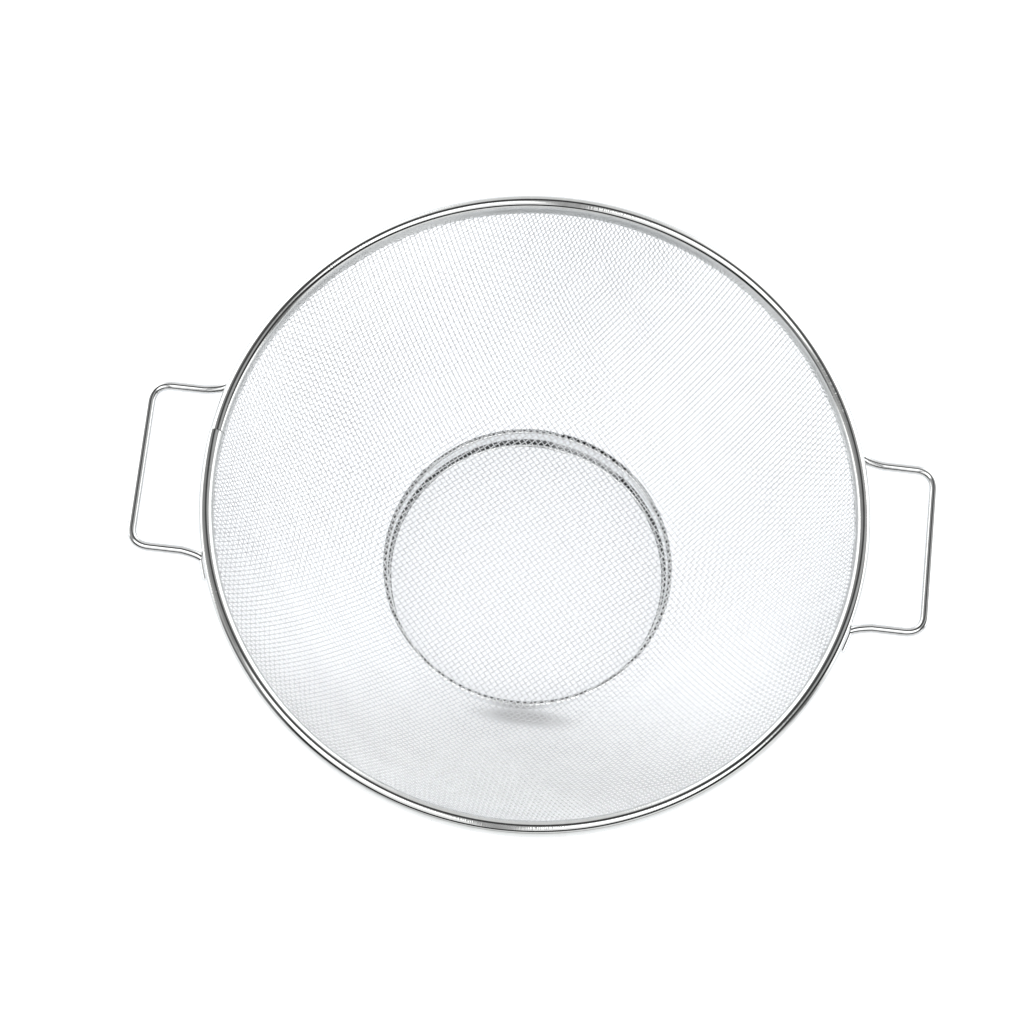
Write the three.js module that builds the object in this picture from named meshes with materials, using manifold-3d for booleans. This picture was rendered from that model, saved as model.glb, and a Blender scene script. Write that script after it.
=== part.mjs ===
// Two-handled mesh strainer bowl: a woven wire bowl clamped in a rolled rim band, with two loop
// handles welded to the band and a strip foot ring under the flat floor. Every piece is steel.
// Millimetres, +Z up. The origin is on the bowl's axis, on the table under the foot ring.
import * as THREE from 'three';
import { mergeVertices } from 'three/addons/utils/BufferGeometryUtils.js';
import Module from 'manifold-3d';

const wasm = await Module();
wasm.setup();

// ---- driving dimensions ----
const RIM_RADIUS = 150; // outer face of the rim band
const RIM_HEIGHT = 105.8; // centre of the rolled bead above the table
const BEAD_RADIUS = 3.25; // outside of the rolled bead
const STRIP = 0.5; // sheet thickness of the rim band and the foot ring
const CLOTH = 1; // thickness of the woven cloth, two wires deep
const GAP = 0.3; // clearance where two pieces touch
const CORE_WIRE_RADIUS = 2.3; // wire inside the rim band
const FLANK_DEPTH = 4.2; // straight outer flank of the band, below the bead's centre
const LIP_REACH = 5.6; // from the bead's centre to the band's lips, measured along the cloth
const SEAM_AZIMUTH = 173; // butt joint of the band, degrees from +X
const SEAM_WIDTH = 0.4;

const FOOT_HEIGHT = 15.7;
const FOOT_TOP_RADIUS = 68.3; // outer edge of the flange that the floor rests on
const FOOT_WALL_RADIUS = 66.2; // middle of the upright wall
const FOOT_LIP_RADIUS = 64.3; // inner edge of the lip that stands on the table
const FOOT_LOWER_BEND = 1.5; // middle bend radius between lip and wall
const FOOT_UPPER_BEND = 0.65; // middle bend radius between wall and flange

const FLOOR_CORNER_RADIUS = 70; // where the floor and the lower wall would meet without the bend
const CORNER_BEND = 6; // length of floor, and of wall, taken up by the bend
const WALL_SLOPE_LOW = 32; // degrees from level, just above the bend
const WALL_SLOPE_HIGH = 65; // degrees from level, in the rim band

const HANDLE_WIRE_RADIUS = 2.1;
const HANDLE_DROP = 3.5; // handle plane below the bead's centre
const HANDLE_REACH = 177.3; // middle of the grip bar from the axis
const LEG_OFFSET = 38.2; // middle of each leg from the handle's own centre line
const HANDLE_CORNER = 9; // middle bend radius between leg and grip bar
const LEG_START = 154; // where the leg becomes straight, from the axis
const FOOT_BULGE = 1.4; // how far a flattened handle foot stands out from the band
const FOOT_START = 16.2; // azimuth where a foot begins to follow the band, degrees from the handle
const FOOT_END = 19.6; // azimuth where the foot ends

const RING_SEGMENTS = 60;
const WIRE_SIDES = 10;
const HANDLE_STEPS = 64;

const rad = THREE.MathUtils.degToRad;
const beadCentre = new THREE.Vector2(RIM_RADIUS - BEAD_RADIUS, RIM_HEIGHT);
const floorMiddle = FOOT_HEIGHT + GAP + CLOTH / 2; // middle of the cloth over the foot ring

// ---- materials ----
const steel = (name, color, roughness) =>
  new THREE.MeshStandardMaterial({ name, color, roughness, metalness: 1 });
const wovenSteel = steel('woven_steel', 0xd2d4d6, 0.35);
const polishedBand = steel('polished_band', 0xc9cacb, 0.12);
const plainWire = steel('plain_wire', 0xb4b5b6, 0.3);
const polishedWire = steel('polished_wire', 0xcfd0d1, 0.15);
const footStrip = steel('foot_strip', 0xc4c6c8, 0.18);

// ---- helpers ----
// Points of a path, with straight stretches as one step and curves as a few.
function samplePath(path, curveSteps) {
  return path.getPoints(curveSteps).filter((point, i, all) => i === 0 || point.distanceTo(all[i - 1]) > 1e-6);
}

// A strip of even thickness on both sides of a middle line, as one closed outline.
// An end on the axis stays on the axis.
function stripOutline(middle, thickness) {
  const side = (sign) => middle.map((point, i) => {
    const before = middle[Math.max(i - 1, 0)];
    const after = middle[Math.min(i + 1, middle.length - 1)];
    const intoPoint = point.clone().sub(before).normalize();
    const outOfPoint = after.clone().sub(point).normalize();
    const along = intoPoint.clone().add(outOfPoint).normalize();
    const straight = i === 0 ? outOfPoint : intoPoint;
    const stretch = 1 / Math.max(along.dot(straight), 0.5);
    const normal = new THREE.Vector2(-along.y, along.x);
    return point.clone().addScaledVector(normal, (sign * stretch * thickness) / 2);
  });
  return [...side(-1), ...side(1).reverse()];
}

// Turns an outline of (radius, height) points about the +Z axis.
function turnedAboutAxis(outline) {
  const onAxis = Math.abs(outline[0].x) < 1e-9;
  const closed = onAxis ? outline : [...outline, outline[0].clone()];
  const geometry = new THREE.LatheGeometry(closed, RING_SEGMENTS);
  return geometry.rotateX(Math.PI / 2);
}

function toSolid(geometry) {
  const bare = geometry.clone();
  bare.deleteAttribute('normal');
  bare.deleteAttribute('uv');
  const merged = mergeVertices(bare, 1e-4);
  return new wasm.Manifold(new wasm.Mesh({
    numProp: 3,
    vertProperties: new Float32Array(merged.attributes.position.array),
    triVerts: new Uint32Array(merged.index.array),
  }));
}

function toGeometry(solid) {
  const mesh = solid.getMesh();
  const geometry = new THREE.BufferGeometry();
  geometry.setAttribute('position', new THREE.BufferAttribute(new Float32Array(mesh.vertProperties), 3));
  geometry.setIndex(new THREE.BufferAttribute(new Uint32Array(mesh.triVerts), 1));
  geometry.computeVertexNormals();
  return geometry;
}

function subtract(geometry, cutter) {
  return toGeometry(toSolid(geometry).subtract(toSolid(cutter)));
}

function piece(name, geometry, material) {
  const mesh = new THREE.Mesh(geometry, material);
  mesh.name = name;
  return mesh;
}

// ---- woven bowl ----
const highSlope = new THREE.Vector2(Math.cos(rad(WALL_SLOPE_HIGH)), Math.sin(rad(WALL_SLOPE_HIGH)));
const lowSlope = new THREE.Vector2(Math.cos(rad(WALL_SLOPE_LOW)), Math.sin(rad(WALL_SLOPE_LOW)));

// The point where a line from a with slope u meets a line back from b with slope v.
function tangentCorner(a, u, b, v) {
  const across = b.clone().sub(a);
  const along = (across.x * v.y - across.y * v.x) / (u.x * v.y - u.y * v.x);
  return a.clone().addScaledVector(u, along);
}

// Middle line of the cloth: flat floor, bend, then a wall that steepens up to the rim.
function clothMiddle() {
  const corner = new THREE.Vector2(FLOOR_CORNER_RADIUS, floorMiddle);
  const wallStart = corner.clone().addScaledVector(lowSlope, CORNER_BEND);
  const wallEnd = beadCentre.clone().addScaledVector(highSlope, -(CORE_WIRE_RADIUS + 2 * GAP));
  const wallCorner = tangentCorner(wallStart, lowSlope, wallEnd, highSlope);
  const path = new THREE.Path();
  path.moveTo(0, floorMiddle);
  path.lineTo(FLOOR_CORNER_RADIUS - CORNER_BEND, floorMiddle);
  path.quadraticCurveTo(corner.x, corner.y, wallStart.x, wallStart.y);
  path.quadraticCurveTo(wallCorner.x, wallCorner.y, wallEnd.x, wallEnd.y);
  return samplePath(path, 7);
}

function meshBowl() {
  return piece('mesh_bowl', turnedAboutAxis(stripOutline(clothMiddle(), CLOTH)), wovenSteel);
}

// ---- rim ----
// The strip runs from the outer lip round the bead to the inner lip, and grips the cloth.
function bandMiddle() {
  const bendRadius = BEAD_RADIUS - STRIP / 2;
  const lipCentre = beadCentre.clone().addScaledVector(highSlope, -LIP_REACH);
  const outward = new THREE.Vector2(highSlope.y, -highSlope.x);
  const standOff = CLOTH / 2 + GAP + STRIP / 2;
  const outerLip = lipCentre.clone().addScaledVector(outward, standOff);
  const innerLip = lipCentre.clone().addScaledVector(outward, -standOff);
  const flank = beadCentre.x + bendRadius;
  const path = new THREE.Path();
  path.moveTo(outerLip.x, outerLip.y);
  path.quadraticCurveTo(flank, outerLip.y, flank, beadCentre.y - FLANK_DEPTH);
  path.lineTo(flank, beadCentre.y);
  path.absarc(beadCentre.x, beadCentre.y, bendRadius, 0, Math.PI, false);
  path.lineTo(innerLip.x, innerLip.y);
  return samplePath(path, 5);
}

function rimBand() {
  const ring = turnedAboutAxis(stripOutline(bandMiddle(), STRIP));
  const reach = 8 * BEAD_RADIUS;
  const seam = new THREE.BoxGeometry(reach, SEAM_WIDTH, reach);
  seam.translate(beadCentre.x, 0, beadCentre.y);
  seam.rotateZ(rad(SEAM_AZIMUTH));
  return piece('rim_band', subtract(ring, seam), polishedBand);
}

function rimCoreWire() {
  const geometry = new THREE.TorusGeometry(beadCentre.x, CORE_WIRE_RADIUS, WIRE_SIDES, RING_SEGMENTS);
  const wire = piece('rim_core_wire', geometry, plainWire);
  wire.position.z = beadCentre.y;
  return wire;
}

// ---- foot ring ----
// The strip runs from the lip on the table, up the wall, to the flange under the floor.
function footMiddle() {
  const low = STRIP / 2;
  const high = FOOT_HEIGHT - STRIP / 2;
  const path = new THREE.Path();
  path.moveTo(FOOT_LIP_RADIUS, low);
  path.lineTo(FOOT_WALL_RADIUS - FOOT_LOWER_BEND, low);
  path.absarc(
    FOOT_WALL_RADIUS - FOOT_LOWER_BEND, low + FOOT_LOWER_BEND, FOOT_LOWER_BEND, -Math.PI / 2, 0, false,
  );
  path.absarc(
    FOOT_WALL_RADIUS + FOOT_UPPER_BEND, high - FOOT_UPPER_BEND, FOOT_UPPER_BEND, Math.PI, Math.PI / 2, true,
  );
  path.lineTo(FOOT_TOP_RADIUS, high);
  return samplePath(path, 2);
}

function footRing() {
  return piece('foot_ring', turnedAboutAxis(stripOutline(footMiddle(), STRIP)), footStrip);
}

// ---- handles ----
const flat = (x, y) => new THREE.Vector3(x, y, 0);

// A point on the middle line of the handle's foot, which lies along the band.
function footPoint(azimuth) {
  const radius = RIM_RADIUS + GAP + FOOT_BULGE - HANDLE_WIRE_RADIUS;
  return flat(radius * Math.cos(rad(azimuth)), radius * Math.sin(rad(azimuth)));
}

// One half of the handle's wire, from the end of a foot to the middle of the grip bar.
function halfHandle(side) {
  const at = (x, y) => flat(x, side * y);
  const onFoot = (azimuth) => footPoint(side * azimuth);
  const cornerStart = at(HANDLE_REACH - HANDLE_CORNER, LEG_OFFSET);
  const cornerEnd = at(HANDLE_REACH, LEG_OFFSET - HANDLE_CORNER);
  const footRun = onFoot(FOOT_START).sub(onFoot(FOOT_END));
  const footCorner = onFoot(FOOT_START).addScaledVector(footRun, 0.25);
  return [
    new THREE.LineCurve3(onFoot(FOOT_END), onFoot(FOOT_START)),
    new THREE.QuadraticBezierCurve3(onFoot(FOOT_START), footCorner, at(LEG_START, LEG_OFFSET)),
    new THREE.LineCurve3(at(LEG_START, LEG_OFFSET), cornerStart),
    new THREE.QuadraticBezierCurve3(cornerStart, at(HANDLE_REACH, LEG_OFFSET), cornerEnd),
    new THREE.LineCurve3(cornerEnd, at(HANDLE_REACH, 0)),
  ];
}

// The same curves run backwards, for the other half.
function reversed(curves) {
  return curves.map((curve) => {
    const points = curve.isLineCurve3 ? [curve.v2, curve.v1] : [curve.v2, curve.v1, curve.v0];
    return curve.isLineCurve3
      ? new THREE.LineCurve3(...points)
      : new THREE.QuadraticBezierCurve3(...points);
  }).reverse();
}

function handle(name, azimuth) {
  const path = new THREE.CurvePath();
  path.curves = [...halfHandle(1), ...reversed(halfHandle(-1))];
  const section = new THREE.Shape();
  section.absarc(0, 0, HANDLE_WIRE_RADIUS, 0, 2 * Math.PI);
  const wire = new THREE.ExtrudeGeometry(section, {
    steps: HANDLE_STEPS,
    curveSegments: WIRE_SIDES / 2, // a full circle takes twice this many
    extrudePath: path,
  });
  const bandSpace = new THREE.CylinderGeometry(
    RIM_RADIUS + GAP, RIM_RADIUS + GAP, 4 * HANDLE_WIRE_RADIUS, RING_SEGMENTS,
  );
  bandSpace.rotateX(Math.PI / 2);
  const mesh = piece(name, subtract(wire, bandSpace), polishedWire);
  mesh.position.z = RIM_HEIGHT - HANDLE_DROP;
  mesh.rotation.z = rad(azimuth);
  return mesh;
}

// ---- the strainer ----
const strainer = new THREE.Group();
strainer.name = 'mesh_strainer';
strainer.add(meshBowl());
strainer.add(rimBand());
strainer.add(rimCoreWire());
strainer.add(footRing());
strainer.add(handle('handle_right', 0));
strainer.add(handle('handle_left', 180));

export default strainer;
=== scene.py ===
"""Two-handled mesh strainer bowl: woven wire cloth, rolled rim band, loop handles and a strip foot ring.

Laid out as an add-on and run as a script. Metres, +Z up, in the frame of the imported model: the origin is on
the bowl's axis, on the table under the foot ring.
"""
import math

import bmesh
import bpy
import numpy as np
from mathutils import Matrix, Vector


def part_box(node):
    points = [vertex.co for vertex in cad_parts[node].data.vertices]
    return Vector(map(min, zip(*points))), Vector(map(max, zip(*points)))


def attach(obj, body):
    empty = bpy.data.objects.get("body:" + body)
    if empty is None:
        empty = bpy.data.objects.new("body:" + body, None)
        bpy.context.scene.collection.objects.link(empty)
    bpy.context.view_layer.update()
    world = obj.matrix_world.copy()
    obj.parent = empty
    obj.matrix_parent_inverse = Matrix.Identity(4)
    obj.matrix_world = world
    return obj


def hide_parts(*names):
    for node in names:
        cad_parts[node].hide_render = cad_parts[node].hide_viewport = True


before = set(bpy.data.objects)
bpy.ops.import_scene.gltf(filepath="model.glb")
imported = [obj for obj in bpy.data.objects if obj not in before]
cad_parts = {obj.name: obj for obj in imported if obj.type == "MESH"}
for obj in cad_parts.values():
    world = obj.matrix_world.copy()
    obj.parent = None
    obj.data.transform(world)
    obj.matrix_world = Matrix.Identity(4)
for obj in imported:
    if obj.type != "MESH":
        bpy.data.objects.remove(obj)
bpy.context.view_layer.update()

bl_info = {
    "name": "Mesh strainer bowl",
    "version": (1, 0, 0),
    "blender": (4, 5, 0),
    "location": "3D View > Sidebar > Strainer",
    "description": "Builds a two-handled strainer bowl of woven wire, piece by piece",
    "category": "Add Mesh",
}

MM = 0.001
DARK_BAND_COLOUR = "121314"  # near-black colour of the dark band inside the foot ring
CORE_COLOUR = "b4b5b6"
GRAIN_LOW = 0.3  # values of the grain's noise that count as its darkest and brightest
GRAIN_HIGH = 0.7
DARK_GRAIN = 0.92  # tone of the darkest grain, against the brightest
SHARP_ANGLE = math.radians(38)  # edges sharper than this stay sharp
WIRE_WELD = 1e-6  # how close two corners of a mesh are welded
PIECE_WELD = 1e-7

# ---- places and sizes, from the frame where it gives them ----
bowl_low = Vector(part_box("mesh_bowl")[0])
band_low, band_high = map(Vector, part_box("rim_band"))
foot_low, foot_high = map(Vector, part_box("foot_ring"))
grip_low, grip_high = map(Vector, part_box("handle_right"))

RIM_RADIUS = (band_high.x - band_low.x) / 2
BEAD_RADIUS = 3.25 * MM  # outside of the rolled bead
BEAD_R = RIM_RADIUS - BEAD_RADIUS  # the bead's centre, from the axis
BEAD_Z = band_high.z - BEAD_RADIUS  # and above the table
HALF_CLOTH = 0.5 * MM
FLOOR_Z = bowl_low.z + HALF_CLOTH  # middle of the cloth on the floor of the bowl

# The wall of the bowl, as the CAD has it
FLOOR_CORNER_RADIUS = 70 * MM
CORNER_BEND = 6 * MM
WALL_SLOPE_LOW = math.radians(32)
WALL_SLOPE_HIGH = math.radians(65)
CLOTH_END = 2.9 * MM  # from the bead's centre to the cut edge of the cloth
PAST_RIM = 20 * MM  # how far the cloth's surface goes on, for the net to reach its edge

# The weave, which the CAD leaves out
CREST_SHARE = 0.22  # of a pitch, from a crossing to where its wire leaves the crest of the wave
CLOTH_PARTS = 4  # pieces that each family of wires is cut into
SETTLE_ROUNDS = 8

# The band and the foot ring, as the CAD has them
GAP = 0.3 * MM  # between pieces that would touch
FLANK_DEPTH = 4.2 * MM
LIP_REACH = 5.6 * MM
SEAM_AZIMUTH = math.radians(173)
FOOT_TOP_RADIUS = (foot_high.x - foot_low.x) / 2
FOOT_WALL_RADIUS = FOOT_TOP_RADIUS - 2.1 * MM
FOOT_LIP_RADIUS = FOOT_TOP_RADIUS - 4.0 * MM
FOOT_LOWER_BEND = 1.5 * MM
FOOT_UPPER_BEND = 0.65 * MM

# The band's joint, closer than in the CAD, with its ends at a slight slope, and the ripples of its crimp
SEAM_WIDTH = 0.15 * MM
SEAM_TILT_BEFORE = -0.12
SEAM_TILT_AFTER = 0.24
SEAM_TILT_REACH = math.radians(9)
SEAM_TILT_DEPTH = 2 * MM
RIPPLE_LENGTH = 0.8 * MM
RIPPLE_PATCH_LENGTH = 45 * MM
RIPPLE_PATCH_EDGE = (0.42, 0.62)  # values of the patches' noise between which the ripples come in
BAND_EDGE_ROUND = 0.12 * MM
BAND_STEPS = 300

# The lap of the foot ring's two ends, which the CAD leaves out, and the near-black band inside the ring
LAP_START = math.radians(52)  # inner end of the strip
LAP_TONGUE = math.radians(30)  # how far the inner end lies under the outer end
LAP_JOGGLE = math.radians(6)  # over which the strip steps out from under itself
LAP_STEP = 0.56 * MM
LAP_END_GAP = math.radians(0.4)  # between the outer end and the step
TONGUE_STEPS = 20
JOGGLE_STEPS = 8
FOOT_STEPS = 236
FOOT_EDGE_ROUND = 0.1 * MM
DARK_BAND_LOWER_EDGE = (0.6 * MM, 1.2 * MM)  # heights between which the dark band fades in
DARK_BAND_UPPER_EDGE = (6.5 * MM, 8.5 * MM)  # and out
DARK_BAND_FACE_EDGE = (FOOT_WALL_RADIUS - 0.1 * MM, FOOT_WALL_RADIUS + 0.1 * MM)  # from the axis
DARK_BAND_ON_LAP = 0.6

# The handles, as the CAD has them
HANDLE_WIRE_RADIUS = (grip_high.z - grip_low.z) / 2
HANDLE_Z = (grip_high.z + grip_low.z) / 2
HANDLE_REACH = grip_high.x - HANDLE_WIRE_RADIUS
LEG_OFFSET = 38.2 * MM
HANDLE_CORNER = 9 * MM
LEG_START = 154 * MM
FOOT_BULGE = 1.4 * MM
FOOT_START = math.radians(16.2)
FOOT_END = math.radians(19.6)
FOOT_CORNER_SHARE = 0.25  # of a foot's length, from its start to the corner of its bend
HANDLE_END_ROUND = 0.9 * MM  # which the CAD leaves out
HANDLE_CLEARANCE = 0.05 * MM  # between a pressed foot and the band

# The table, with the bowl's shadow and its contact shadow painted into its own light. Each edge is soft, and
# runs between two places.
TABLE_RADIUS = 4
TABLE_SIDES = 96
TABLE_FRONT_EDGE = (-0.5, -0.34)  # along Y
TABLE_LAMP_EDGE = (-0.12, -0.04)  # along Y
# where the painted shadow of the bowl on the table's light ends
BOWL_SHADOW_EDGE = (0.1, 0.135)  # from the axis
TABLE_WHITE_FRONT = 0.3  # share of its colour that it shows, from the front to the back
TABLE_WHITE_MIDDLE = 0.95
TABLE_WHITE_BACK = 0.4
TABLE_GLOW_FRONT = 0.33  # strength of its own light, from the front to the back
TABLE_GLOW_MIDDLE = 0.38
# the table's own light under the bowl, dimmed as a painted shadow of the bowl
TABLE_GLOW_IN_BOWL_SHADOW = 0.08
TABLE_GLOW_BACK = 0.94
SHADOW_MIDDLE = (6 * MM, -FOOT_WALL_RADIUS - 3.5 * MM, 0)
SHADOW_HALF_SIZE = (32 * MM, 6.5 * MM, 1)
SHADOW_EDGE = (0.2, 1.0)  # in half sizes
SHADOW_DEPTH = 0.8

# The studio: how strongly its parts shine
FRONT_WALL = 1.2
SIDE_WALLS = 2.3
BACK_WALL = 3.0
BACK_PATCH = 0.92
SIDE_BANDS = 0.22
STAND = 0.5
FRAME_FRONT = 0.04
FRAME_FRONT_ENDS = 0.02
FRAME_BACK_LEFT = 0.35
FRAME_BACK_RIGHT = 0.07
FRAME_BACK_ENDS = 0.55

# Where the studio's parts begin and end. Each edge is soft, and runs between two shares of a direction, which
# are 0 square to it and 1 straight along it.
FRONT_WALL_EDGE = (-0.55, -0.25)  # backwards
BACK_WALL_EDGE = (0.2, 0.8)  # backwards
PATCH_EDGE = (0.5, 0.7)  # backwards
PATCH_ENDS = (0.15, 0.5)  # to either side
BANDS_FRONT_EDGE = (-0.65, -0.5)  # backwards
BANDS_BACK_EDGE = (-0.25, -0.05)  # backwards
BANDS_START = (0.68, 0.86)  # to either side along the box
STAND_EDGE = (0.03, 0.08)  # to either side

# The light box and the oval frame round it
BOX_TOWARDS = Vector((0, -0.544, 0.839)).normalized()  # direction of the box
BOX_SIDEWAYS = Vector((0.934, 0.297, 0.2)).normalized()  # along its front side
BOX_UPWARD = BOX_TOWARDS.cross(BOX_SIDEWAYS)  # from its front side to its back side
BOX_SIDE_EDGE = (0.15, 0.35)  # towards the box
FRAME_HALF_WIDTH = 0.80
FRAME_HALF_HEIGHT = 0.66
FRAME_MIDDLE = 0.15  # upward
FRAME_INNER_EDGE = (0.68, 0.8)  # in half sizes of the oval
FRAME_OUTER_EDGE = (1.18, 1.38)  # in half sizes of the oval
FRAME_LEFT_TO_RIGHT = (-0.1, 0.2)  # sideways
FRAME_FRONT_TO_BACK = (-0.3, 0.3)  # upward
FRAME_ENDS = (0.35, 0.6)  # to either side along the box
FRAME_ENDS_FRONT_TO_BACK = (0.1, 0.35)  # upward
STAND_TOP = (0.7, 0.9)  # in half sizes of the oval

# The camera, measured in rim radii from the middle of the rim
CAMERA_ELEVATION = math.radians(71.8)
CAMERA_ROLL = math.radians(-6.445)
CAMERA_DISTANCE = 9.727
CAMERA_ASIDE = (0.0706, 0.0190)
CAMERA_LENS = 115  # mm
CAMERA_SENSOR = 36  # mm
CAMERA_CLIP_END = 20


# ---- sizes and colours a user would change ----
class StrainerSizes(bpy.types.PropertyGroup):
    wire: bpy.props.FloatProperty(
        name="Cloth wire", description="Diameter of the wire that the cloth is woven from",
        default=0.5 * MM, unit="LENGTH")
    weft_pitch: bpy.props.FloatProperty(
        name="Weft pitch", description="Spacing of the crossings along a warp wire",
        default=2.232 * MM, unit="LENGTH")
    warp_pitch: bpy.props.FloatProperty(
        name="Warp pitch", description="Spacing of the crossings along a weft wire",
        default=2.146 * MM, unit="LENGTH")
    weave_angle: bpy.props.FloatProperty(
        name="Weave angle", description="Direction of the warp wires on the floor, from +X",
        default=math.radians(40.3), subtype="ANGLE")
    strip: bpy.props.FloatProperty(
        name="Strip thickness", description="Sheet thickness of the rim band and the foot ring",
        default=0.5 * MM, unit="LENGTH")


class StrainerColours(bpy.types.PropertyGroup):
    cloth: bpy.props.StringProperty(
        name="Woven wire", description="sRGB hex colour of the drawn stainless wire", default="e9eaeb")
    band: bpy.props.StringProperty(
        name="Rim band", description="sRGB hex colour of the polished rim band", default="d6d7d6")
    grip: bpy.props.StringProperty(
        name="Handles", description="sRGB hex colour of the polished handle wire", default="d8d9d9")
    foot: bpy.props.StringProperty(
        name="Foot ring", description="sRGB hex colour of the foot ring's strip", default="eceded")
    table: bpy.props.StringProperty(
        name="Table", description="sRGB hex colour of the pale studio table", default="f8f8f8")
    glow: bpy.props.StringProperty(
        name="Table light", description="sRGB hex colour of the table's own light", default="f4f7fb")


def sizes():
    return bpy.context.scene.strainer_sizes


def colours():
    return bpy.context.scene.strainer_colours


# ---- materials ----
def linear(hex_colour):
    """An sRGB hex colour as linear red, green, blue and alpha."""
    parts = [int(hex_colour[i:i + 2], 16) / 255 for i in (0, 2, 4)]
    return [c / 12.92 if c <= 0.04045 else ((c + 0.055) / 1.055) ** 2.4 for c in parts] + [1.0]


def add_node(tree, kind, settings=None, inputs=None):
    """Adds a node, sets its properties, and sets or links its inputs."""
    node = tree.nodes.new(kind)
    for name, value in (settings or {}).items():
        setattr(node, name, value)
    for name, value in (inputs or {}).items():
        if isinstance(value, bpy.types.NodeSocket):
            tree.links.new(value, node.inputs[name])
        else:
            node.inputs[name].default_value = value
    return node


def rise(tree, value, start, end):
    """0 up to the start, 1 from the end, and smooth between."""
    return add_node(tree, "ShaderNodeMapRange", {"interpolation_type": "SMOOTHSTEP"}, {
        "Value": value, "From Min": start, "From Max": end}).outputs["Result"]


def fall(tree, value, start, end):
    """1 up to the start, 0 from the end, and smooth between."""
    return maths(tree, "SUBTRACT", 1.0, rise(tree, value, start, end))


def maths(tree, operation, *values):
    node = tree.nodes.new("ShaderNodeMath")
    node.operation = operation
    for socket, value in zip(node.inputs, values):
        if isinstance(value, bpy.types.NodeSocket):
            tree.links.new(value, socket)
        else:
            socket.default_value = value
    return node.outputs["Value"]


def mix_grey(tree, share, first, second):
    return add_node(tree, "ShaderNodeMix", {"data_type": "FLOAT"}, {
        "Factor": share, "A": first, "B": second}).outputs["Result"]


def new_material(name):
    material = bpy.data.materials.new(name)
    material.use_nodes = True
    material.node_tree.nodes.clear()
    return material, material.node_tree


def finish_material(tree, shader):
    add_node(tree, "ShaderNodeOutputMaterial", inputs={"Surface": shader.outputs["BSDF"]})


def shade(hex_colour, factor):
    """The colour with its linear value multiplied, for the darker end of a ramp."""
    return [c * factor for c in linear(hex_colour)[:3]] + [1.0]


def steel_material(name, hex_colour, rough, spread, grain_mm, bump_mm, crimp_mm=0.0, darkening=None):
    """Steel whose gloss and tone vary with a fine grain, on a very slightly uneven surface.

    Crimp adds the ripples that run across a strip where it was rolled over a wire. Darkening is a function
    that gives the share of the surface turned to a near-black colour.
    """
    material, tree = new_material(name)
    place = add_node(tree, "ShaderNodeTexCoord")
    grain = add_node(tree, "ShaderNodeTexNoise", inputs={
        "Vector": place.outputs["Object"], "Scale": 1 / (grain_mm * MM), "Detail": 3.0, "Roughness": 0.6})
    tone = add_node(tree, "ShaderNodeMapRange", inputs={
        "Value": grain.outputs["Fac"], "From Min": GRAIN_LOW, "From Max": GRAIN_HIGH})
    tint = add_node(tree, "ShaderNodeMix", {"data_type": "RGBA"}, {
        "Factor": tone.outputs["Result"], "A": shade(hex_colour, DARK_GRAIN), "B": linear(hex_colour)})
    if darkening:
        tint = add_node(tree, "ShaderNodeMix", {"data_type": "RGBA"}, {
            "Factor": darkening(tree, place), "A": tint.outputs["Result"], "B": linear(DARK_BAND_COLOUR)})
    gloss = add_node(tree, "ShaderNodeMapRange", inputs={
        "Value": grain.outputs["Fac"], "From Min": GRAIN_LOW, "From Max": GRAIN_HIGH,
        "To Min": rough - spread, "To Max": rough + spread})
    height = maths(tree, "MULTIPLY", grain.outputs["Fac"], bump_mm * MM)
    if crimp_mm:
        ripples = maths(tree, "MULTIPLY", crimp_ripples(tree, place), crimp_mm * MM)
        height = maths(tree, "ADD", height, ripples)
    relief = add_node(tree, "ShaderNodeBump", inputs={"Height": height, "Distance": 1.0})
    shader = add_node(tree, "ShaderNodeBsdfPrincipled", inputs={
        "Base Color": tint.outputs["Result"], "Roughness": gloss.outputs["Result"],
        "Metallic": 1.0, "Normal": relief.outputs["Normal"]})
    finish_material(tree, shader)
    return material


def crimp_ripples(tree, place):
    """Fine ripples along the rim, which come and go every few centimetres."""
    across = add_node(tree, "ShaderNodeSeparateXYZ", inputs={"Vector": place.outputs["Object"]})
    azimuth = maths(tree, "ARCTAN2", across.outputs["Y"], across.outputs["X"])
    ripple = add_node(tree, "ShaderNodeTexNoise", {"noise_dimensions": "1D"}, {
        "W": azimuth, "Scale": RIM_RADIUS / RIPPLE_LENGTH, "Detail": 1.0})
    patch = add_node(tree, "ShaderNodeTexNoise", {"noise_dimensions": "1D"}, {
        "W": azimuth, "Scale": RIM_RADIUS / RIPPLE_PATCH_LENGTH, "Detail": 1.0})
    strength = rise(tree, patch.outputs["Fac"], *RIPPLE_PATCH_EDGE)
    return maths(tree, "MULTIPLY", ripple.outputs["Fac"], strength)


def drawn_wire_material():
    # Bright drawn stainless wire: a soft satin gloss, a little uneven from place to place.
    return steel_material(
        "drawn_stainless_wire", colours().cloth, rough=0.36, spread=0.05, grain_mm=9.0, bump_mm=0.0)


def polished_band_material():
    # Roll-formed and polished stainless strip: nearly a mirror, with faint waves left by the rollers.
    return steel_material(
        "polished_stainless_strip", colours().band,
        rough=0.07, spread=0.02, grain_mm=4.0, bump_mm=0.01, crimp_mm=0.035)


def polished_grip_material():
    # Polished stainless wire: a mirror that bends with the wire, softened by fine drawing marks.
    return steel_material(
        "polished_stainless_wire", colours().grip, rough=0.09, spread=0.02, grain_mm=5.0, bump_mm=0.006)


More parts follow.
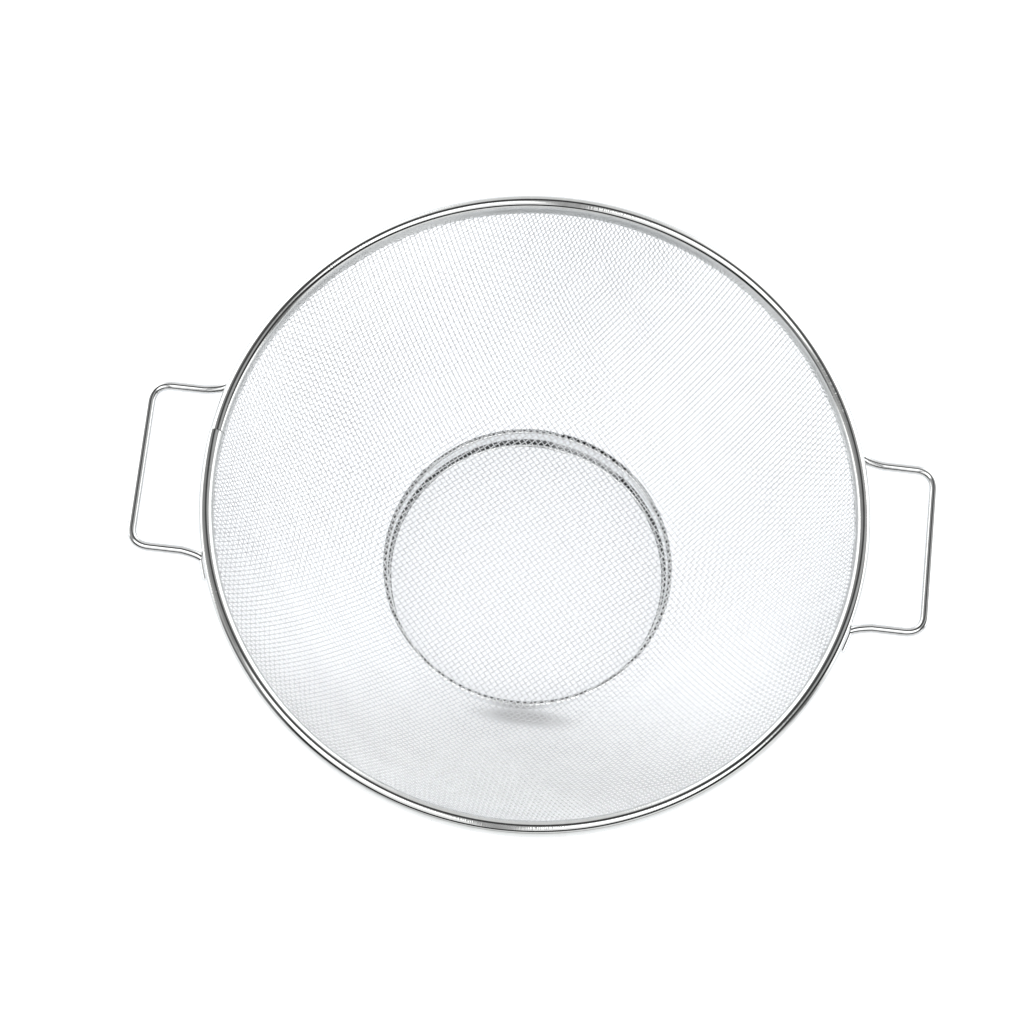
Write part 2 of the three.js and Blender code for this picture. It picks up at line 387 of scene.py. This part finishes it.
def inner_dark_band(tree, place):
    """Darkens the lower half of the foot ring's inner face to near black, more thinly over the lap of the
    strip's ends.
    """
    part = add_node(tree, "ShaderNodeSeparateXYZ", inputs={"Vector": place.outputs["Object"]})
    level = add_node(tree, "ShaderNodeCombineXYZ", inputs={"X": part.outputs["X"], "Y": part.outputs["Y"]})
    radius = add_node(tree, "ShaderNodeVectorMath", {"operation": "LENGTH"}, {0: level.outputs["Vector"]})
    azimuth = maths(tree, "ARCTAN2", part.outputs["Y"], part.outputs["X"])
    above_lip = rise(tree, part.outputs["Z"], *DARK_BAND_LOWER_EDGE)
    below_middle = fall(tree, part.outputs["Z"], *DARK_BAND_UPPER_EDGE)
    face = fall(tree, radius.outputs["Value"], *DARK_BAND_FACE_EDGE)
    lap_end = LAP_START + LAP_TONGUE
    lap_begins = rise(tree, azimuth, LAP_START, LAP_START + LAP_JOGGLE)
    lap = maths(tree, "MULTIPLY", lap_begins, fall(tree, azimuth, lap_end, lap_end + LAP_JOGGLE))
    share = maths(tree, "MULTIPLY", maths(tree, "MULTIPLY", above_lip, below_middle), face)
    return maths(tree, "MULTIPLY", share, mix_grey(tree, lap, 1.0, DARK_BAND_ON_LAP))


def foot_strip_material():
    # Rolled stainless strip, less polished than the rim: reflections stay, with softer edges. A near-black
    # band runs round the lower half of its inner face.
    return steel_material(
        "rolled_stainless_strip", colours().foot,
        rough=0.12, spread=0.03, grain_mm=4.0, bump_mm=0.008, darkening=inner_dark_band)


def plain_wire_material():
    # Plain drawn steel wire inside the band, duller than the polished pieces.
    return steel_material(
        "plain_steel_wire", CORE_COLOUR, rough=0.32, spread=0.06, grain_mm=3.0, bump_mm=0.01)


def foot_shadow(tree, place):
    """The table's soft contact shadow, an oval in front of the foot ring."""
    from_middle = add_node(tree, "ShaderNodeVectorMath", {"operation": "SUBTRACT"}, {
        0: place.outputs["Object"], 1: SHADOW_MIDDLE})
    in_widths = add_node(tree, "ShaderNodeVectorMath", {"operation": "DIVIDE"}, {
        0: from_middle.outputs["Vector"], 1: SHADOW_HALF_SIZE})
    spread = add_node(tree, "ShaderNodeVectorMath", {"operation": "LENGTH"}, {0: in_widths.outputs["Vector"]})
    return mix_grey(tree, rise(tree, spread.outputs["Value"], *SHADOW_EDGE), SHADOW_DEPTH, 0.0)


def pale_table_material():
    # A pale, matt table, lit from within as far forward as the foot ring. In front of that it has little
    # light of its own, least under the bowl, where a shadow of the bowl is painted into that light, and
    # mostly shows the studio's.
    # Far in front it is dim.
    material, tree = new_material("pale_light_table")
    place = add_node(tree, "ShaderNodeTexCoord")
    front = add_node(tree, "ShaderNodeSeparateXYZ", inputs={"Vector": place.outputs["Object"]})
    front_edge = rise(tree, front.outputs["Y"], *TABLE_FRONT_EDGE)
    lamp_edge = rise(tree, front.outputs["Y"], *TABLE_LAMP_EDGE)
    near_white = mix_grey(tree, lamp_edge, TABLE_WHITE_MIDDLE, TABLE_WHITE_BACK)
    white_share = mix_grey(tree, front_edge, TABLE_WHITE_FRONT, near_white)
    base = add_node(tree, "ShaderNodeMix", {"data_type": "RGBA"}, {
        "Factor": white_share, "A": (0, 0, 0, 1), "B": linear(colours().table)})
    # Painted shadow of the bowl: the table's own light is dimmer near the axis.
    from_axis = add_node(tree, "ShaderNodeVectorMath", {"operation": "LENGTH"}, {0: place.outputs["Object"]})
    bowl_shadow_edge = rise(tree, from_axis.outputs["Value"], *BOWL_SHADOW_EDGE)
    near_glow = mix_grey(tree, bowl_shadow_edge, TABLE_GLOW_IN_BOWL_SHADOW, TABLE_GLOW_MIDDLE)
    near_glow = mix_grey(tree, lamp_edge, near_glow, TABLE_GLOW_BACK)
    glow = mix_grey(tree, front_edge, TABLE_GLOW_FRONT, near_glow)
    glow = maths(tree, "MULTIPLY", glow, maths(tree, "SUBTRACT", 1.0, foot_shadow(tree, place)))
    shader = add_node(tree, "ShaderNodeBsdfPrincipled", inputs={
        "Base Color": base.outputs["Result"], "Roughness": 0.6, "Specular IOR Level": 0.2,
        "Emission Color": linear(colours().glow), "Emission Strength": glow})
    finish_material(tree, shader)
    return material


# ---- shared shape helpers ----
def arc_points(centre, radius, start, end, steps):
    """Points of a circular arc in the (radius, height) plane."""
    angles = np.linspace(start, end, steps + 1)
    return [Vector((centre[0] + radius * math.cos(a), centre[1] + radius * math.sin(a))) for a in angles]


def bend_points(start, corner, end, steps):
    """Points of a quadratic bend from start to end that is tangent to the lines through the corner."""
    places = []
    for t in np.linspace(0, 1, steps + 1):
        places.append(start * (1 - t) ** 2 + corner * 2 * t * (1 - t) + end * t ** 2)
    return places


def slope_vector(angle):
    return Vector((math.cos(angle), math.sin(angle)))


def strip_outline(middle, thickness):
    """The closed outline of a strip of even thickness about a middle line."""
    left, right = [], []
    for i, point in enumerate(middle):
        into = (point - middle[i - 1]).normalized() if i > 0 else None
        out_of = (middle[i + 1] - point).normalized() if i < len(middle) - 1 else None
        along = ((into or out_of) + (out_of or into)).normalized()
        stretch = 1 / max(along.dot(into or out_of), 0.5)
        side = Vector((-along.y, along.x)) * stretch * thickness / 2
        left.append(point + side)
        right.append(point - side)
    return right + left[::-1]


def section_ring(bm, outline, azimuth):
    """A closed loop of edges in the upright plane through the axis at that azimuth."""
    turn = Matrix.Rotation(azimuth, 3, "Z")
    corners = [bm.verts.new(turn @ Vector((p.x, 0, p.y))) for p in outline]
    return [bm.edges.new((a, b)) for a, b in zip(corners, corners[1:] + corners[:1])]


def strip_section(bm, outline, azimuth, edge_round):
    """The face of a strip's section, upright through the axis, with the corners of both its edges rounded."""
    edges = section_ring(bm, outline, azimuth)
    half = len(outline) // 2
    corners = [edges[i].verts[0] for i in (0, half - 1, half, len(outline) - 1)]
    bmesh.ops.bevel(
        bm, geom=corners, offset=edge_round, segments=2, profile=0.5, affect="VERTICES", material=-1)
    bmesh.ops.contextual_create(bm, geom=list(bm.edges))
    return list(bm.faces)


def sweep_round(bm, section, angle, steps, drift=(0, 0, 0)):
    """Sweeps a section's face about the axis, drifting a little at each step, and returns its far end."""
    swept = bmesh.ops.spin(
        bm, geom=section, axis=(0, 0, 1), cent=(0, 0, 0), dvec=drift, angle=angle, steps=steps)
    return [item for item in swept["geom_last"] if isinstance(item, bmesh.types.BMFace)]


def add_piece(name, bm, material, slot, *cad_nodes):
    """Turns a bmesh into a finished piece that rides on the body and stands for its CAD nodes."""
    bmesh.ops.remove_doubles(bm, verts=bm.verts, dist=PIECE_WELD)
    bmesh.ops.recalc_face_normals(bm, faces=bm.faces)
    for face in bm.faces:
        face.smooth = True
    mesh = bpy.data.meshes.new(name)
    bm.to_mesh(mesh)
    bm.free()
    mesh.set_sharp_from_angle(angle=SHARP_ANGLE)
    return add_object(name, mesh, material, slot, *cad_nodes)


def add_object(name, mesh, material, slot, *cad_nodes):
    mesh.materials.clear()
    mesh.materials.append(material)
    piece = bpy.data.objects.new(name, mesh)
    bpy.context.scene.collection.objects.link(piece)
    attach(piece, "root")
    if cad_nodes:
        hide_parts(*cad_nodes)
    return piece


def swept_wires(name, paths, radius, sides_level):
    """A mesh of round wires, each swept along one list of points, with closed ends."""
    curve = bpy.data.curves.new(name + "_path", "CURVE")
    curve.dimensions = "3D"
    curve.bevel_depth = radius
    curve.bevel_resolution = sides_level
    curve.use_fill_caps = True
    for path in paths:
        spline = curve.splines.new("POLY")
        spline.points.add(len(path) - 1)
        spline.points.foreach_set("co", np.c_[path, np.ones(len(path))].ravel())
    holder = bpy.data.objects.new(name + "_path", curve)
    bpy.context.scene.collection.objects.link(holder)
    mesh = bpy.data.meshes.new_from_object(holder.evaluated_get(bpy.context.evaluated_depsgraph_get()))
    mesh.name = name
    bpy.data.objects.remove(holder)
    bpy.data.curves.remove(curve)
    bm = bmesh.new()
    bm.from_mesh(mesh)
    bmesh.ops.remove_doubles(bm, verts=bm.verts, dist=WIRE_WELD)
    bmesh.ops.recalc_face_normals(bm, faces=bm.faces)
    bm.to_mesh(mesh)
    bm.free()
    mesh.shade_smooth()
    return mesh


def map_from_above(mesh):
    """Gives a mesh a map for its textures, laid out as the piece is seen from above."""
    layer = mesh.uv_layers.new(name="OFBake")
    places = np.empty(len(mesh.vertices) * 3)
    mesh.vertices.foreach_get("co", places)
    corners = np.empty(len(mesh.loops), dtype=int)
    mesh.loops.foreach_get("vertex_index", corners)
    map_width = 2.1 * RIM_RADIUS  # a little wider than the bowl
    flat = places.reshape(-1, 3)[corners, :2] / map_width + 0.5
    layer.uv.foreach_set("vector", flat.ravel())


# ---- woven cloth ----
def cloth_line():
    """Radius and height along the middle of the cloth, from the axis to the rim and a little past it."""
    low, high = slope_vector(WALL_SLOPE_LOW), slope_vector(WALL_SLOPE_HIGH)
    bend_start = Vector((FLOOR_CORNER_RADIUS - CORNER_BEND, FLOOR_Z))
    corner = Vector((FLOOR_CORNER_RADIUS, FLOOR_Z))
    wall_start = corner + low * CORNER_BEND
    wall_end = Vector((BEAD_R, BEAD_Z)) - high * CLOTH_END
    across = wall_end - wall_start
    reach = (across.x * high.y - across.y * high.x) / (low.x * high.y - low.y * high.x)
    wall_corner = wall_start + low * reach
    past_rim = wall_end + high * PAST_RIM
    points = [Vector((0, FLOOR_Z))]
    points += bend_points(bend_start, corner, wall_start, steps=40)
    points += bend_points(wall_start, wall_corner, wall_end, steps=200)[1:]
    points += [past_rim]
    line = np.array([[p.x, p.y] for p in points])
    return line[:, 0], line[:, 1], wall_end.x


class ClothSurface:
    """The pressed bowl that the cloth follows: a surface of revolution, as height over radius."""

    def __init__(self):
        self.radii, self.heights, self.end_radius = cloth_line()
        steps = np.hypot(np.diff(self.radii), np.diff(self.heights))
        self.arc = np.r_[0, np.cumsum(steps)]
        self.slopes = np.gradient(self.heights, self.radii)

    def height(self, radius):
        return np.interp(radius, self.radii, self.heights)

    def on_surface(self, x, y):
        return np.stack([x, y, self.height(np.hypot(x, y))], axis=-1)

    def gradient(self, points):
        radius = np.maximum(np.hypot(points[..., 0], points[..., 1]), 1e-9)
        slope = np.interp(radius, self.radii, self.slopes)
        return slope * points[..., 0] / radius, slope * points[..., 1] / radius

    def normals(self, points):
        slope_x, slope_y = self.gradient(points)
        upright = np.stack([-slope_x, -slope_y, np.ones_like(slope_x)], axis=-1)
        return upright / np.linalg.norm(upright, axis=-1, keepdims=True)

    def along_meridian(self, distances):
        return np.interp(distances, self.arc, self.radii)


def quarter_net(surface, pitch_i, pitch_j, count):
    """Crossings of a net of unstretched wires laid over one quarter of the bowl.

    The first wire of each family lies on a meridian. Every other crossing lies one pitch from each of the two
    crossings before it, which is how flat cloth shears as it is pressed into a bowl.
    """
    net = np.full((count, count, 3), np.nan)
    zero = np.zeros(count)
    net[:, 0] = surface.on_surface(surface.along_meridian(np.arange(count) * pitch_i), zero)
    net[0, :] = surface.on_surface(zero, surface.along_meridian(np.arange(count) * pitch_j))
    for diagonal in range(2, 2 * count - 1):
        i = np.arange(max(1, diagonal - count + 1), min(diagonal, count))
        j = diagonal - i
        before_j, before_i = net[i, j - 1], net[i - 1, j]
        guess = before_j + before_i - net[i - 1, j - 1]
        net[i, j] = settle(surface, guess, before_j, pitch_j, before_i, pitch_i)
    return net


def settle(surface, guess, first, first_length, second, second_length):
    """Moves each guess over the surface until it is at the given lengths from two known crossings."""
    x, y = guess[:, 0].copy(), guess[:, 1].copy()
    for _ in range(SETTLE_ROUNDS):
        point = surface.on_surface(x, y)
        slope_x, slope_y = surface.gradient(point)
        to_first, to_second = point - first, point - second
        miss_first = (to_first ** 2).sum(-1) - first_length ** 2
        miss_second = (to_second ** 2).sum(-1) - second_length ** 2
        a = 2 * (to_first[:, 0] + to_first[:, 2] * slope_x)
        b = 2 * (to_first[:, 1] + to_first[:, 2] * slope_y)
        c = 2 * (to_second[:, 0] + to_second[:, 2] * slope_x)
        d = 2 * (to_second[:, 1] + to_second[:, 2] * slope_y)
        spread = a * d - b * c
        x -= (d * miss_first - b * miss_second) / spread
        y -= (a * miss_second - c * miss_first) / spread
    return surface.on_surface(x, y)


def whole_net(quarter):
    """The four mirrored quarters as one net, with the pole's crossing in the middle."""
    half = np.concatenate([quarter[:0:-1] * (-1, 1, 1), quarter], axis=0)
    return np.concatenate([half[:, :0:-1] * (1, -1, 1), half], axis=1)


def wire_path(surface, crossings, sides, wire_radius):
    """One wire through its crossings, over and under by turns, cut off at the edge of the cloth.

    Each crossing gives two points, a little before and after it, which round the crest of the wave.
    """
    radius = np.hypot(crossings[:, 0], crossings[:, 1])
    inside = np.flatnonzero(radius < surface.end_radius)
    if len(inside) < 2:
        return None
    first, last = inside[0], inside[-1]
    kept = crossings[first:last + 1]
    lift = surface.normals(kept) * (sides[first:last + 1] * wire_radius)[:, None]
    before = np.empty_like(kept)
    after = np.empty_like(kept)
    before[1:] = kept[1:] + (kept[:-1] - kept[1:]) * CREST_SHARE + lift[1:]
    after[:-1] = kept[:-1] + (kept[1:] - kept[:-1]) * CREST_SHARE + lift[:-1]
    before[0] = cut_edge(surface, kept[0], crossings[first - 1])
    after[-1] = cut_edge(surface, kept[-1], crossings[last + 1])
    return np.stack([before, after], axis=1).reshape(-1, 3)


def cut_edge(surface, inner, outer):
    """The point between two crossings where the cloth's cut edge lies."""
    inner_radius = math.hypot(inner[0], inner[1])
    outer_radius = math.hypot(outer[0], outer[1])
    share = (surface.end_radius - inner_radius) / (outer_radius - inner_radius)
    return inner + (outer - inner) * share


def weave_wires():
    """Paths of the warp and weft wires of the whole bowl."""
    chosen = sizes()
    surface = ClothSurface()
    count = int(surface.arc[-1] / chosen.warp_pitch)
    net = whole_net(quarter_net(surface, chosen.weft_pitch, chosen.warp_pitch, count))
    middle = count - 1
    index = np.arange(len(net)) - middle
    turn = np.array(Matrix.Rotation(chosen.weave_angle, 3, "Z"))
    families = []
    for family, crossings in ((1, net.transpose(1, 0, 2)), (-1, net)):
        paths = []
        for row, line in zip(index, crossings):
            over = family * np.where((index + row) % 2 == 0, 1.0, -1.0)
            path = wire_path(surface, line, over, chosen.wire / 2)
            if path is not None:
                paths.append(path @ turn.T)
        families.append(paths)
    return families


class STRAINER_OT_cloth(bpy.types.Operator):
    """Weaves the bowl from warp and weft wires that cross over and under each other"""
    bl_idname = "strainer.cloth"
    bl_label = "Woven bowl"

    def execute(self, context):
        material = drawn_wire_material()
        for family, paths in zip(("warp", "weft"), weave_wires()):
            share = math.ceil(len(paths) / CLOTH_PARTS)
            for part in range(CLOTH_PARTS):
                name = f"cloth_{family}_{part + 1}"
                kept = paths[part * share:(part + 1) * share]
                mesh = swept_wires(name, kept, sizes().wire / 2, sides_level=1)
                map_from_above(mesh)
                add_object(name, mesh, material, "woven_steel", "mesh_bowl")
        return {"FINISHED"}


# ---- rim ----
def band_line():
    """Middle of the band's strip, from the outer lip round the bead to the inner lip."""
    strip = sizes().strip
    bend_radius = BEAD_RADIUS - strip / 2
    centre = Vector((BEAD_R, BEAD_Z))
    high = slope_vector(WALL_SLOPE_HIGH)
    stand_off = Vector((high.y, -high.x)) * (HALF_CLOTH + GAP + strip / 2)
    lips = centre - high * LIP_REACH
    outer_lip, inner_lip = lips + stand_off, lips - stand_off
    flank = Vector((BEAD_R + bend_radius, BEAD_Z - FLANK_DEPTH))
    line = bend_points(outer_lip, Vector((flank.x, outer_lip.y)), flank, steps=8)
    line += arc_points(centre, bend_radius, 0, math.pi, steps=24)
    line += [inner_lip]
    return line


def tilt_ends(bm):
    """Tilts the bead one way before the joint and the other way after it, as rolling leaves the ends.

    The tilt fades away from the joint, and below the bead's middle.
    """
    for vert in bm.verts:
        past_joint = math.atan2(vert.co.y, vert.co.x) % math.tau - SEAM_AZIMUTH
        nearness = max(0, 1 - abs(past_joint) / SEAM_TILT_REACH)
        above = min(max((vert.co.z - BEAD_Z) / SEAM_TILT_DEPTH + 1, 0), 1)
        slope = SEAM_TILT_AFTER if past_joint > 0 else SEAM_TILT_BEFORE
        vert.co.z += slope * nearness ** 2 * above * (vert.co.xy.length - BEAD_R)


class STRAINER_OT_rim(bpy.types.Operator):
    """Rolls the rim band over the edge of the cloth and leaves its butt joint open"""
    bl_idname = "strainer.rim"
    bl_label = "Rim band"

    def execute(self, context):
        outline = strip_outline(band_line(), sizes().strip)
        gap = SEAM_WIDTH / BEAD_R
        bm = bmesh.new()
        section = strip_section(bm, outline, SEAM_AZIMUTH + gap / 2, BAND_EDGE_ROUND)
        sweep_round(bm, section, math.tau - gap, BAND_STEPS)
        tilt_ends(bm)
        add_piece("rim_band_rolled", bm, polished_band_material(), "polished_band", "rim_band")
        return {"FINISHED"}


class STRAINER_OT_core_wire(bpy.types.Operator):
    """Gives the wire inside the band its finish"""
    bl_idname = "strainer.core_wire"
    bl_label = "Core wire"

    def execute(self, context):
        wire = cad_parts["rim_core_wire"]
        wire.material_slots[0].material = plain_wire_material()
        return {"FINISHED"}


# ---- foot ring ----
def foot_line():
    """Middle of the foot ring's strip, from the lip on the table up to the flange under the floor."""
    strip = sizes().strip
    low, high = strip / 2, foot_high.z - strip / 2
    line = [Vector((FOOT_LIP_RADIUS, low))]
    lower_centre = (FOOT_WALL_RADIUS - FOOT_LOWER_BEND, low + FOOT_LOWER_BEND)
    upper_centre = (FOOT_WALL_RADIUS + FOOT_UPPER_BEND, high - FOOT_UPPER_BEND)
    line += arc_points(lower_centre, FOOT_LOWER_BEND, -math.pi / 2, 0, steps=12)
    line += arc_points(upper_centre, FOOT_UPPER_BEND, math.pi, math.pi / 2, steps=8)
    line += [Vector((FOOT_TOP_RADIUS, high))]
    return line


class STRAINER_OT_foot(bpy.types.Operator):
    """Bends the foot ring from a strip whose ends lap over each other"""
    bl_idname = "strainer.foot"
    bl_label = "Foot ring"

    def execute(self, context):
        tucked = [point - Vector((LAP_STEP, 0)) for point in foot_line()]
        outward = Vector((math.cos(LAP_START + LAP_TONGUE), math.sin(LAP_START + LAP_TONGUE), 0))
        bm = bmesh.new()
        end = strip_section(bm, strip_outline(tucked, sizes().strip), LAP_START, FOOT_EDGE_ROUND)
        tongue_end = sweep_round(bm, end, LAP_TONGUE, TONGUE_STEPS)
        drift = outward * LAP_STEP / JOGGLE_STEPS
        joggle_end = sweep_round(bm, tongue_end, LAP_JOGGLE, JOGGLE_STEPS, drift)
        sweep_round(bm, joggle_end, math.tau - LAP_JOGGLE - LAP_END_GAP, FOOT_STEPS)
        bmesh.ops.delete(bm, geom=tongue_end + joggle_end, context="FACES_ONLY")
        add_piece("foot_ring_strip", bm, foot_strip_material(), "foot_strip", "foot_ring")
        return {"FINISHED"}


# ---- handles ----
def half_handle():
    """Middle of the wire, from the end of a foot to the middle of the grip bar, on the +Y side."""
    foot_radius = RIM_RADIUS + GAP + FOOT_BULGE - HANDLE_WIRE_RADIUS
    foot = arc_points((0, 0), foot_radius, FOOT_END, FOOT_START, steps=6)
    foot_corner = foot[-1] + (foot[-1] - foot[0]) * FOOT_CORNER_SHARE
    leg_start = Vector((LEG_START, LEG_OFFSET))
    corner = Vector((HANDLE_REACH, LEG_OFFSET))
    corner_start = corner - Vector((HANDLE_CORNER, 0))
    corner_end = corner - Vector((0, HANDLE_CORNER))
    line = foot
    line += bend_points(foot[-1], foot_corner, leg_start, steps=12)[1:]
    line += bend_points(corner_start, corner, corner_end, steps=16)
    line += [Vector((HANDLE_REACH, 0))]
    return line


def handle_mesh(name, azimuth):
    half = half_handle()
    line = half + [Vector((p.x, -p.y)) for p in half[-2::-1]]
    path = np.array([[p.x, p.y, HANDLE_Z] for p in line])
    mesh = swept_wires(name, [path], HANDLE_WIRE_RADIUS, sides_level=6)
    bm = bmesh.new()
    bm.from_mesh(mesh)
    bpy.data.meshes.remove(mesh)
    ends = [edge for face in bm.faces if len(face.verts) > 4 for edge in face.edges]
    bmesh.ops.bevel(
        bm, geom=ends, offset=HANDLE_END_ROUND, segments=3, profile=0.5, affect="EDGES", material=-1)
    press_feet_on_band(bm)
    bmesh.ops.rotate(bm, verts=bm.verts, cent=(0, 0, 0), matrix=Matrix.Rotation(azimuth, 3, "Z"))
    return bm


def press_feet_on_band(bm):
    """Flattens what would lie inside the band against the band's outer flank."""
    flank = RIM_RADIUS + HANDLE_CLEARANCE
    for vert in bm.verts:
        radius = vert.co.xy.length
        if radius < flank:
            vert.co.xy *= flank / radius


class STRAINER_OT_handles(bpy.types.Operator):
    """Bends both handles from one wire each and presses their feet on the band"""
    bl_idname = "strainer.handles"
    bl_label = "Handles"

    def execute(self, context):
        material = polished_grip_material()
        for side, azimuth in (("right", 0), ("left", math.pi)):
            name = f"handle_wire_{side}"
            add_piece(name, handle_mesh(name, azimuth), material, "polished_wire", f"handle_{side}")
        return {"FINISHED"}


# ---- stage ----
def add_camera():
    camera = bpy.data.objects.new("camera", bpy.data.cameras.new("camera"))
    camera.data.lens = CAMERA_LENS
    camera.data.sensor_width = CAMERA_SENSOR
    camera.data.clip_end = CAMERA_CLIP_END
    tilt = Matrix.Rotation(math.pi / 2 - CAMERA_ELEVATION, 4, "X")
    turn = tilt @ Matrix.Rotation(-CAMERA_ROLL, 4, "Z")
    rim_from_camera = Vector((*CAMERA_ASIDE, -CAMERA_DISTANCE)) * RIM_RADIUS
    place = Vector((0, 0, BEAD_Z)) - turn.to_3x3() @ rim_from_camera
    camera.matrix_world = Matrix.Translation(place) @ turn
    bpy.context.scene.collection.objects.link(camera)
    bpy.context.scene.camera = camera


def add_table():
    bm = bmesh.new()
    bmesh.ops.create_circle(bm, cap_ends=True, segments=TABLE_SIDES, radius=TABLE_RADIUS)
    mesh = bpy.data.meshes.new("table")
    bm.to_mesh(mesh)
    bm.free()
    mesh.materials.append(pale_table_material())
    table = bpy.data.objects.new("table", mesh)
    bpy.context.scene.collection.objects.link(table)


def share_along(tree, direction, axis):
    return add_node(tree, "ShaderNodeVectorMath", {"operation": "DOT_PRODUCT"}, {
        0: direction, 1: axis}).outputs["Value"]


def tent_light(tree, backward, sideways):
    """A pale front wall, white sides, and a brighter back wall with a greyer patch in its middle."""
    tent = mix_grey(tree, rise(tree, backward, *FRONT_WALL_EDGE), FRONT_WALL, SIDE_WALLS)
    tent = mix_grey(tree, rise(tree, backward, *BACK_WALL_EDGE), tent, BACK_WALL)
    in_patch = maths(tree, "MULTIPLY", rise(tree, backward, *PATCH_EDGE), fall(tree, sideways, *PATCH_ENDS))
    return mix_grey(tree, in_patch, tent, BACK_PATCH)


def distance_from_box(tree, across, along):
    """0 in the middle of the light box, and 1 on the oval that runs through the dark frame round it."""
    width_part = maths(tree, "POWER", maths(tree, "DIVIDE", across, FRAME_HALF_WIDTH), 2.0)
    from_middle = maths(tree, "SUBTRACT", along, FRAME_MIDDLE)
    height_part = maths(tree, "POWER", maths(tree, "DIVIDE", from_middle, FRAME_HALF_HEIGHT), 2.0)
    return maths(tree, "SQRT", maths(tree, "ADD", width_part, height_part))


def frame_light(tree, to_the_right, across, along):
    """The dark frame round the light box: nearly black on its front side, and greyer on its back side."""
    back = mix_grey(tree, rise(tree, to_the_right, *FRAME_LEFT_TO_RIGHT), FRAME_BACK_LEFT, FRAME_BACK_RIGHT)
    middle = mix_grey(tree, rise(tree, along, *FRAME_FRONT_TO_BACK), FRAME_FRONT, back)
    end_share = rise(tree, along, *FRAME_ENDS_FRONT_TO_BACK)
    ends = mix_grey(tree, end_share, FRAME_FRONT_ENDS, FRAME_BACK_ENDS)
    return mix_grey(tree, rise(tree, across, *FRAME_ENDS), middle, ends)


def studio_light(tree, direction):
    """Strength of the light from each direction: the tent, and in it the dark frame, side bands and stand."""
    backward = share_along(tree, direction, (0, 1, 0))
    sideways = maths(tree, "ABSOLUTE", share_along(tree, direction, (1, 0, 0)))
    to_the_right = share_along(tree, direction, BOX_SIDEWAYS)
    across = maths(tree, "ABSOLUTE", to_the_right)
    along = share_along(tree, direction, BOX_UPWARD)
    oval = distance_from_box(tree, across, along)
    box_side = rise(tree, share_along(tree, direction, BOX_TOWARDS), *BOX_SIDE_EDGE)

    outside_box = rise(tree, oval, *FRAME_INNER_EDGE)
    in_frame = maths(tree, "MULTIPLY", outside_box, fall(tree, oval, *FRAME_OUTER_EDGE))
    in_frame = maths(tree, "MULTIPLY", in_frame, box_side)
    light = tent_light(tree, backward, sideways)
    light = mix_grey(tree, in_frame, light, frame_light(tree, to_the_right, across, along))

    past_front = rise(tree, backward, *BANDS_FRONT_EDGE)
    in_bands = maths(tree, "MULTIPLY", past_front, fall(tree, backward, *BANDS_BACK_EDGE))
    in_bands = maths(tree, "MULTIPLY", in_bands, rise(tree, across, *BANDS_START))
    light = mix_grey(tree, in_bands, light, SIDE_BANDS)

    on_stand = maths(tree, "MULTIPLY", fall(tree, sideways, *STAND_EDGE), fall(tree, oval, *STAND_TOP))
    return mix_grey(tree, on_stand, light, STAND)


def add_studio_light():
    """A white tent, brightest behind the bowl, with a light box inside a dark gap in its roof.

    Polished steel shows the gap as the dark lines along the rim, and the box as the bright line between them.
    """
    world = bpy.data.worlds.new("studio")
    bpy.context.scene.world = world
    world.use_nodes = True
    tree = world.node_tree
    tree.nodes.clear()
    direction = add_node(tree, "ShaderNodeTexCoord").outputs["Generated"]
    studio = add_node(tree, "ShaderNodeBackground", inputs={
        "Color": (1, 1, 1, 1), "Strength": studio_light(tree, direction)})
    add_node(tree, "ShaderNodeOutputWorld", inputs={"Surface": studio.outputs["Background"]})


class STRAINER_OT_stage(bpy.types.Operator):
    """Sets the camera, the pale table and the soft studio light"""
    bl_idname = "strainer.stage"
    bl_label = "Stage"

    def execute(self, context):
        context.scene.view_settings.view_transform = "Standard"
        add_camera()
        add_table()
        add_studio_light()
        return {"FINISHED"}


# ---- panel and registration ----
OPERATORS = (
    STRAINER_OT_stage,
    STRAINER_OT_cloth,
    STRAINER_OT_rim,
    STRAINER_OT_core_wire,
    STRAINER_OT_foot,
    STRAINER_OT_handles,
)


class STRAINER_PT_pieces(bpy.types.Panel):
    bl_idname = "STRAINER_PT_pieces"
    bl_label = "Strainer"
    bl_space_type = "VIEW_3D"
    bl_region_type = "UI"
    bl_category = "Strainer"

    def draw(self, context):
        for group in (sizes(), colours()):
            box = self.layout.box()
            for name in group.__annotations__:
                box.prop(group, name)
        for operator in OPERATORS:
            self.layout.operator(operator.bl_idname)


CLASSES = (StrainerSizes, StrainerColours, *OPERATORS, STRAINER_PT_pieces)


def register():
    for cls in CLASSES:
        bpy.utils.register_class(cls)
    bpy.types.Scene.strainer_sizes = bpy.props.PointerProperty(type=StrainerSizes)
    bpy.types.Scene.strainer_colours = bpy.props.PointerProperty(type=StrainerColours)


def unregister():
    del bpy.types.Scene.strainer_colours
    del bpy.types.Scene.strainer_sizes
    for cls in reversed(CLASSES):
        bpy.utils.unregister_class(cls)


def main():
    register()
    for operator in OPERATORS:
        group, name = operator.bl_idname.split(".")
        getattr(getattr(bpy.ops, group), name)()


if __name__ == "__main__":
    main()
